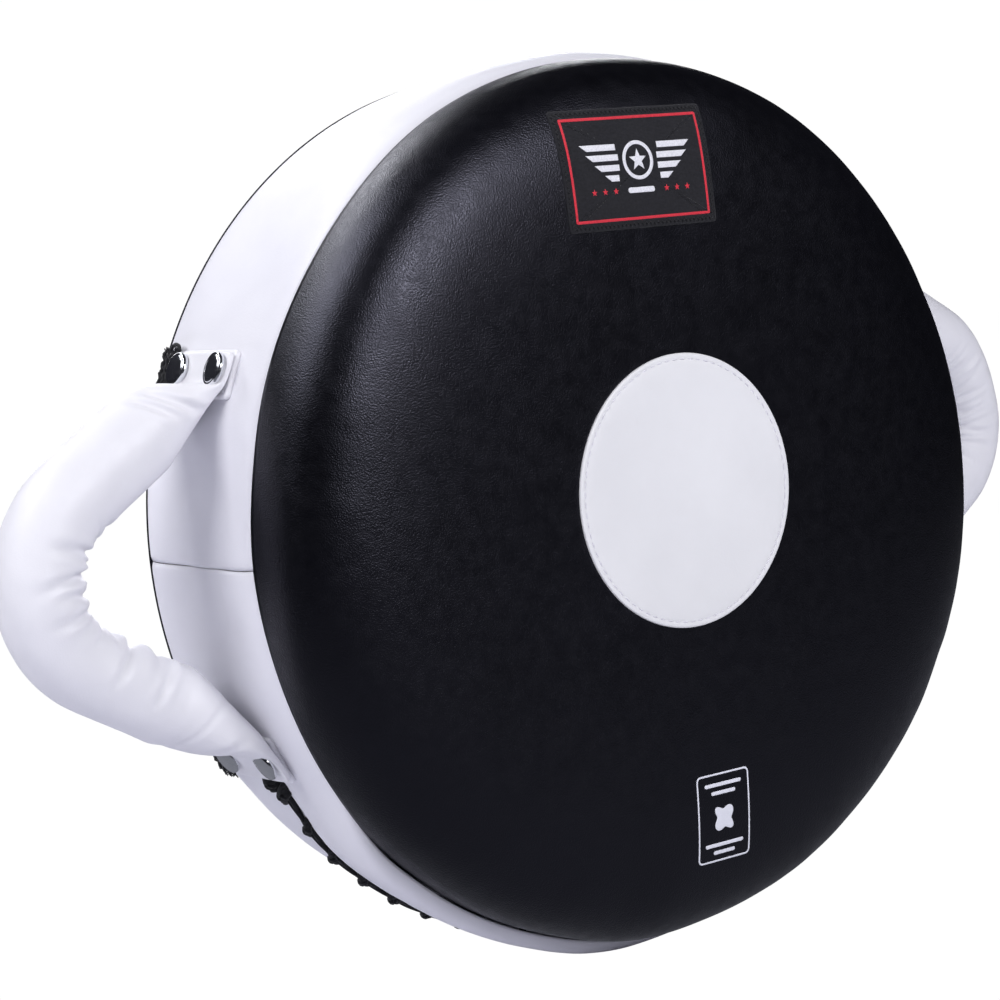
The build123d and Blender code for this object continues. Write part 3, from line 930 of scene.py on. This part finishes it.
def make_strap_tail(side, side_name, end, end_name):
    """The raw end of the webbing behind a tab: ribs, a frayed edge and a stray hook of thread."""
    rng = random.Random(40 + side * 3 + end)
    shape = Shape()
    ribs = 9
    first, last = TAB_SPAN[end][0] + 0.2, TAB_SPAN[end][1] - 0.1
    front = TAB_Y + TAB_W / 2 + 0.6
    for k in range(ribs):
        y = front + 1.0 + k * 11.4 / (ribs - 1)
        reach = last + rng.uniform(-0.5, 0.25)
        path = []
        for i in range(15):
            angle = first + (reach - first) * i / 14
            lift = (1.5 + 0.55 * sin(angle * 9 + k * pi) + 0.35 * (k % 2)
                    + 1.1 * smooth(0.75, 1, i / 14) * rng.uniform(0.2, 1))
            path.append(polar(bearing(side, end, angle), TAB_R + lift, y + 0.25 * wander(angle, k)))
        shape.tube(path, 1.0, sides=6, taper=0.04)
    for k in range(16):
        y = front + 0.6 + rng.uniform(0, 11.5)
        bend = rng.uniform(-3, 3)
        path = []
        for i in range(7):
            t = i / 6
            angle = last - 0.3 + rng.uniform(0.55, 0.9) * t
            r = TAB_R + 1.6 + 1.4 * t + rng.uniform(-0.2, 0.2)
            path.append(polar(bearing(side, end, angle), r, y + bend * t * t))
        shape.tube(path, 0.32, sides=5, taper=0.1)
    if end > 0:
        hook = []
        for i in range(15):
            swing = pi * 1.05 * i / 14
            angle = last - 0.2 + 0.9 * sin(swing)
            hook.append(polar(bearing(side, end, angle), TAB_R + 2.6 + 1.2 * sin(swing * 0.8),
                              front + 6.4 - 8.5 * (1 - cos(swing)) / 2))
        shape.tube(hook, 0.85, sides=6, taper=0.08)
    tail = shape.piece(f"{side_name}_{end_name}_webbing_end", WEBBING, "black_webbing")
    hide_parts(f"{side_name}_{end_name}_strap_tail")


for side, side_name in SIDES:
    for end, end_name in ENDS:
        make_tab(side, side_name, end, end_name)
        make_rivets(side, side_name, end, end_name)
        make_strap_tail(side, side_name, end, end_name)


# ---- lace along the slit ----
def make_lace():
    rng = random.Random(11)
    centres = [270 + (k - (LACE_TURNS - 1) / 2) * LACE_PITCH for k in range(LACE_TURNS)]

    def on_slit(theta, lift, off):
        return polar(theta, wall_radius(theta, SLIT_Y) + lift, SLIT_Y + off)
    shape = Shape()
    for strand in (-1, 1):
        path = []
        for i in range(361):
            theta = centres[0] - 6.0 + (centres[-1] - centres[0] + 12) * i / 360
            twist = (theta - centres[0]) / LACE_PITCH * pi
            off = strand * 1.15 * cos(twist) + 0.3 * wander(theta / 3, strand)
            lift = 1.3 + 0.3 * strand * sin(twist) + 0.2 * wander(theta / 2, strand, seed=2)
            path.append(on_slit(theta, lift, off))
        shape.tube(path, 1.2, sides=8, flat=0.7, taper=0.005)

    def knot(theta, off, size, lean, turns, cord):
        """Loops of cord drawn tight round the two strands, leaning along the slit."""
        for k in range(turns):
            shift = (k - (turns - 1) / 2) * 0.34
            reach = size * rng.uniform(0.86, 1.1)
            path = []
            for i in range(19):
                a = pi * (i / 18 * 1.3 - 0.15)
                across = -reach * cos(a)
                rise = 0.2 + (2.3 + 0.5 * (k % 2)) * max(sin(a), -0.2) * rng.uniform(0.97, 1.03)
                path.append(on_slit(theta + shift + lean * across * 0.17, rise, off + across))
            shape.tube(path, cord, sides=8, flat=0.85, taper=0.06)
        path = [on_slit(theta + 0.45 * cos(t), 3.1 + 0.4 * sin(t * 2), off + size * 0.6 * sin(t))
                for t in (tau * i / 12 * 0.9 for i in range(13))]
        shape.tube(path, cord * 0.85, sides=6, taper=0.08)

    for centre in centres:
        knot(centre, off=rng.uniform(-0.3, 0.5), size=3.4, lean=rng.uniform(1.7, 2.4), turns=3, cord=1.25)
    # The lace is tied off in a bigger double knot below each lower tab
    for first, direction in ((centres[0], -1), (centres[-1], 1)):
        knot(first + direction * 5.7, off=1.2, size=4.2, lean=1.3, turns=5, cord=1.5)
        knot(first + direction * 7.5, off=4.6, size=4.2, lean=0.2, turns=6, cord=1.5)
        end = [on_slit(first + direction * (7.2 + 0.12 * i), 1.6 + 0.1 * i, 4.5 + 0.55 * i) for i in range(8)]
        shape.tube(end, 1.2, sides=8, flat=0.8, taper=0.1)
    lace = shape.piece("slit_lacing", LACE, "black_lace")
    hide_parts("slit_lace")


make_lace()


# ---- handles: one padded leather tube from tab to tab, with its fixed necks ----
# Half of the middle line of each end, on the right: (outer x, z), (inner x, z), width, squareness, y
NECK = {
    1: (((184.7, 91.2), (181.7, 89.8), 45.0, 5.5, -42.0),
        ((187.9, 84.8), (184.5, 83.3), 45.4, 5.5, -42.0),
        ((191.6, 78.6), (187.8, 76.3), 43.6, 4.5, -41.8),
        ((198.0, 78.8), (190.6, 70.4), 40.0, 3.2, -41.4),
        ((208.4, 79.4), (195.4, 61.4), 38.4, 2.4, -41.0),
        ((218.6, 77.6), (201.2, 52.0), 38.0, 2.1, -40.7),
        ((228.4, 74.0), (209.2, 42.0), 38.0, 2.0, -40.5)),
    -1: (((181.2, 97.6), (178.4, 96.0), 46.0, 6.0, -42.3),
         ((184.2, 92.0), (181.0, 90.2), 46.4, 6.0, -42.3),
         ((190.4, 85.6), (185.3, 81.7), 46.4, 4.0, -42.2),
         ((198.0, 82.6), (189.6, 71.6), 45.8, 3.2, -42.0),
         ((208.4, 80.8), (195.2, 62.2), 44.0, 2.6, -41.6),
         ((218.2, 77.0), (200.8, 52.4), 41.4, 2.3, -41.0),
         ((227.4, 72.6), (208.4, 42.1), 38.8, 2.0, -40.6)),
}
LEG_FOOT, LEG_STEP = Vector((203.0, 67.5)), Vector((0.853, -0.522))
LEG_STATIONS = (24, 34, 44, 54)     # along a leg, from its foot
BEND_X, BEND_R, BEND_ANGLE = 234.3, 41.2, 58.5
GRIP_R, LOWER_GRIP_R = 19.0, 18.4
FILLING_INSET, SLEEVE_GAP = 44, 3.2
RINGS, AROUND = 196, 72


# How far a leg lies above its plain line, where it is clear of its tab
RAISED = {(1, 1): 8.6, (1, -1): -0.9, (-1, 1): 2.3, (-1, -1): 0.3}


def half_line(side, end):
    """Stations from a tab to the middle of the bend: middle, outward arrow, half width, squareness, y."""
    stations = []
    for outer, inner, width, square, y in NECK[end]:
        o, i = Vector(outer), Vector(inner)
        stations.append((*((o + i) / 2), *((o - i) / 2), width / 2, square, y))
    normal = Vector((-LEG_STEP.y, LEG_STEP.x))
    radius = GRIP_R if end > 0 else LOWER_GRIP_R
    for s in LEG_STATIONS:
        p = LEG_FOOT + LEG_STEP * s
        stations.append((*p, *(normal * radius), radius, 2.0, HANDLE_Y))
    for k in range(7):
        share = k / 6
        a = radians(BEND_ANGLE * (1 - share))
        out = Vector((cos(a), sin(a)))
        r = radius + (GRIP_R - radius) * share
        stations.append((BEND_X + BEND_R * out.x, BEND_R * out.y, *(out * r), r, 2.0, HANDLE_Y))
    return [(x, z + RAISED[side, end] * smooth(192, 216, x) * smooth(0, 34, z), ox, oz, w, q, y)
            for x, z, ox, oz, w, q, y in stations]


def loop_line(side):
    """Stations of a whole handle, from its upper tab to its lower tab."""
    lower = [(x, -z, ox, -oz, w, q, y) for x, z, ox, oz, w, q, y in reversed(half_line(side, -1)[:-1])]
    return np.array(half_line(side, 1) + lower)


def resample(stations, count):
    """Catmull-Rom through the stations, then points at even spacing along the middle line."""
    fine = []
    last = len(stations) - 1
    for i in range(last):
        p0, p1, p2, p3 = (stations[min(max(i + k, 0), last)] for k in (-1, 0, 1, 2))
        for t in np.linspace(0, 1, 24, endpoint=False):
            fine.append(0.5 * (2 * p1 + (p2 - p0) * t + (2 * p0 - 5 * p1 + 4 * p2 - p3) * t * t
                               + (3 * p1 - p0 - 3 * p2 + p3) * t ** 3))
    fine.append(stations[-1])
    fine = np.array(fine)
    length = np.concatenate(([0], np.cumsum(np.hypot(*np.diff(fine[:, :2], axis=0).T))))
    at = np.linspace(0, length[-1], count)
    return np.column_stack([np.interp(at, length, fine[:, k]) for k in range(fine.shape[1])]), at


def make_creases(seed, count, spread, middle):
    """Creases of the bend: (place along the loop, side, depth, width, slant, reach round the tube)."""
    rng = random.Random(seed)
    creases = []
    for k in range(count):
        at = middle - spread / 2 + spread * (k + rng.uniform(0.2, 0.8)) / count
        creases.append((at, pi + rng.uniform(-0.25, 0.25), rng.uniform(0.5, 1.9), rng.uniform(1.4, 3.4),
                        rng.uniform(-4.5, 4.5), rng.uniform(0.6, 1.5)))
    return creases


def crease_depth(creases, s, phi):
    """Height added to the sleeve at a place: a valley with a soft roll on each side."""
    total = 0.0
    for at, centre, depth, width, slant, reach in creases:
        off = (phi - centre + pi) % tau - pi
        if abs(off) > reach * 1.6:
            continue
        fade = exp(-(off / reach) ** 4)
        d = (s - at - slant * off - 0.8 * sin(2.3 * off + at)) / width
        if abs(d) < 4:
            total += depth * fade * (-exp(-d * d) + 0.32 * exp(-(abs(d) - 1.9) ** 2 / 0.9))
    return total


def tube_points(stations, at, side, creases, shrink=0.0):
    """Rings of a handle's surface, in mm."""
    total = at[-1]
    verts = []
    for i, (x, z, ox, oz, w, square, y) in enumerate(stations):
        t = hypot(ox, oz)
        ux, uz = ox / t, oz / t
        for k in range(AROUND):
            phi = tau * k / AROUND
            c, s = cos(phi), sin(phi)
            power = 2.0 / square
            cx = copysign(abs(c) ** power, c) * (t - shrink)
            cy = copysign(abs(s) ** power, s) * (w - shrink)
            grow = 0.0
            if creases:
                free = smooth(16, 34, min(at[i], total - at[i]))
                grow = free * (0.35 * wander(at[i] / 22, 1.4 * c, 1.4 * s, seed=21 + side)
                               + 0.16 * wander(at[i] / 7, 2.5 * c, 2.5 * s, seed=25 + side))
                grow += crease_depth(creases, at[i], phi)
            px, pz = x + ux * (cx + grow * c), z + uz * (cx + grow * c)
            verts.append(Vector((side * px, y - cy - grow * s, pz)))
    return verts


def bend_with_handle(piece):
    """Bakes the piece's placement into its mesh; the piece is not attached to any body."""
    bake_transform(piece)


def make_handle(side, side_name):
    stations, at = resample(loop_line(side), RINGS)
    total = at[-1]
    middle = total / 2
    if side < 0:
        creases = make_creases(3, 10, 124, middle + 8)
        creases += [
            (middle - 27.5, pi * 0.86, 2.3, 2.6, -3.0, 1.25), (middle - 14.0, pi * 0.88, 2.5, 2.4, -4.5, 1.5),
            (middle + 12.0, pi * 0.9, 1.7, 2.2, 2.5, 1.4), (middle + 48.0, pi * 0.78, 1.9, 2.0, 5.0, 1.0),
            (middle + 68.0, pi * 0.72, 1.5, 2.0, 3.0, 0.9)]
    else:
        creases = [(a, c, d * 0.6, w * 0.8, k, r * 0.9) for a, c, d, w, k,
                   r in make_creases(8, 15, 110, middle - 12)]
        creases += [(middle - 22.0, pi * 0.75, 0.8, 1.8, 6.0, 1.15),
                    (middle + 3.0, pi * 0.75, 0.8, 1.9, 5.0, 1.2),
                    (middle + 16.0, pi * 0.75, 0.7, 1.9, 2.0, 1.1),
                    (middle - 38.0, pi * 0.75, 0.7, 2.2, -4.0, 1.2)]
        for off in (-47, -43, -33, -29, -17, -12, -7, -2, 7, 11):
            creases.append((middle + off, pi * 0.78, 0.62, 1.15, 3.5 - 0.12 * abs(off), 1.15))
    # Folds where the padding ends and the leather flattens into its tabs
    creases += [(34.0, pi * 0.38, 2.3, 2.3, -6.0, 0.75), (43.0, pi * 0.32, 1.7, 2.2, -9.0, 0.6),
                (total - 47.0, pi * 0.45, 0.55, 1.3, 5.0, 1.4), (total - 33.0, pi * 0.3, 0.8, 2.4, 4.0, 0.6)]
    verts = tube_points(stations, at, side, creases)
    handle = make_piece(f"{side_name}_handle_sleeve", verts, capped(RINGS, AROUND), GRIP,
                        ride=False)
    subdivide(handle)
    bend_with_handle(handle)
    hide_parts(f"{side_name}_grip_sleeve", f"{side_name}_upper_neck", f"{side_name}_lower_neck")

    filled = (at > FILLING_INSET) & (at < total - FILLING_INSET)
    verts = tube_points(stations[filled], at[filled], side, None, shrink=SLEEVE_GAP)
    filling = make_piece(f"{side_name}_handle_filling", verts, capped(filled.sum(), AROUND), CORE_FOAM,
                         ride=False)
    bend_with_handle(filling)
    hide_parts(f"{side_name}_grip_padding")


for side, side_name in SIDES:
    make_handle(side, side_name)


# ---- finishes of the CAD pieces that stay ----
def finish_of(name):
    if name.endswith("_washers"):
        return STEEL
    if name.endswith("_core_strap"):
        return WEBBING
    if name.endswith("_backing"):
        return BLACK
    return DENSE_FOAM if name == "strike_foam" else CORE_FOAM


for name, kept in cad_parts.items():
    if kept.hide_render:
        continue
    material = finish_of(name)
    if not kept.material_slots:
        kept.data.materials.append(material)
    for place_for in kept.material_slots:
        place_for.material = material


# ---- stage, light and sky ----
def by_ray(owner, ray, usual, special):
    """The special shader for that kind of ray, the usual one for all others."""
    mix = node(owner, "MixShader")
    link(node(owner, "LightPath").outputs[ray], mix.inputs["Fac"])
    link(usual, mix.inputs[1])
    link(special, mix.inputs[2])
    return mix.outputs["Shader"]


def make_floor():
    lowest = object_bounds()[0].z
    size, cells = 30.0, 12
    line = [-size / 2 + size * i / cells for i in range(cells + 1)]
    mesh = bpy.data.meshes.new("floor")
    mesh.from_pydata([(x, y, lowest - 0.0005) for y in line for x in line], [],
                     grid_faces(cells + 1, cells + 1))
    floor = bpy.data.objects.new("floor", mesh)
    bpy.context.scene.collection.objects.link(floor)
    material, shader, where = principled("pale_floor", 0.9, specular=0.0)
    shader.inputs["Base Color"].default_value = (0.67, 0.67, 0.74, 1)
    glow = node(material, "Emission", Color=(1, 1, 1, 1), Strength=TO_CAMERA)
    # Painted glow for glossy rays only: the floor is no lamp, but it gives off light in reflections
    painted_reflection_glow = node(material, "Emission", Color=(0.85, 0.87, 1, 1))
    # Painted reflection: glossy rays see the floor as a glow, strongest close to the pad and fading outwards,
    # so it shows in the pad's gloss
    from_middle = node(material, "VectorMath", operation="LENGTH")
    link(where, from_middle.inputs[0])
    link(stretch(material, from_middle.outputs["Value"], 0.26, 0.012, 0.45, 1.3), painted_reflection_glow.inputs["Strength"])
    gloss_sees_painted_glow = by_ray(material, "Is Glossy Ray", shader.outputs["BSDF"], painted_reflection_glow.outputs["Emission"])
    seen = by_ray(material, "Is Camera Ray", gloss_sees_painted_glow, glow.outputs["Emission"])
    link(seen, material.node_tree.nodes["Material Output"].inputs["Surface"])
    mesh.materials.append(material)


def softbox(name, place, aim, size, watts, colour, mirrored=True, diffuse=True):
    data = bpy.data.lights.new(name, "AREA")
    data.shape = "RECTANGLE"
    data.size, data.size_y = size
    data.energy = watts
    data.color = colour
    light = bpy.data.objects.new(name, data)
    bpy.context.scene.collection.objects.link(light)
    light.location = place
    light.rotation_euler = (Vector(aim) - Vector(place)).to_track_quat("-Z", "Y").to_euler()
    light.visible_camera = False
    light.visible_glossy = mirrored
    light.visible_diffuse = diffuse


def make_sky():
    world = bpy.data.worlds.new("studio")
    bpy.context.scene.world = world
    world.use_nodes = True
    world.node_tree.nodes.clear()
    seen, soft, gloss = (
        node(world, "Background", Color=(*colour, 1), Strength=strength).outputs["Background"]
        for colour,
        strength in (((1, 1, 1), TO_CAMERA), ((0.78, 0.78, 0.93), 0.19), ((0.5, 0.52, 0.7), 0.03)))
    usual = by_ray(world, "Is Glossy Ray", soft, gloss)
    link(by_ray(world, "Is Camera Ray", usual, seen), node(world, "OutputWorld").inputs["Surface"])


make_floor()
make_sky()
softbox("front_softbox", (0.17, -2.0, 0.98), (0, -0.1, 0.05), (0.70, 0.60), 30, (0.98, 0.98, 1.0))
softbox("upper_left_softbox", (-1.72, -0.12, 1.2), (-0.05, -0.05, 0), (1.0, 1.0), 26, (0.98, 0.98, 1.0),
        mirrored=False)
softbox("upper_left_sheen", (-1.35, 0.35, 1.7), (-0.05, -0.05, 0), (1.1, 1.1), 31, (0.95, 0.96, 1.0),
        diffuse=False)
softbox("rear_softbox", (0.95, 1.7, 0.55), (0, 0, 0), (1.2, 0.8), 20, (0.96, 0.97, 1.0))
softbox("rear_strip", (-0.35, 1.5, 1.6), (-0.05, -0.1, 0.1), (1.6, 0.5), 22, (0.95, 0.96, 1.0))

scene = bpy.context.scene
scene.view_settings.view_transform = "Standard"
scene.view_settings.look = "None"
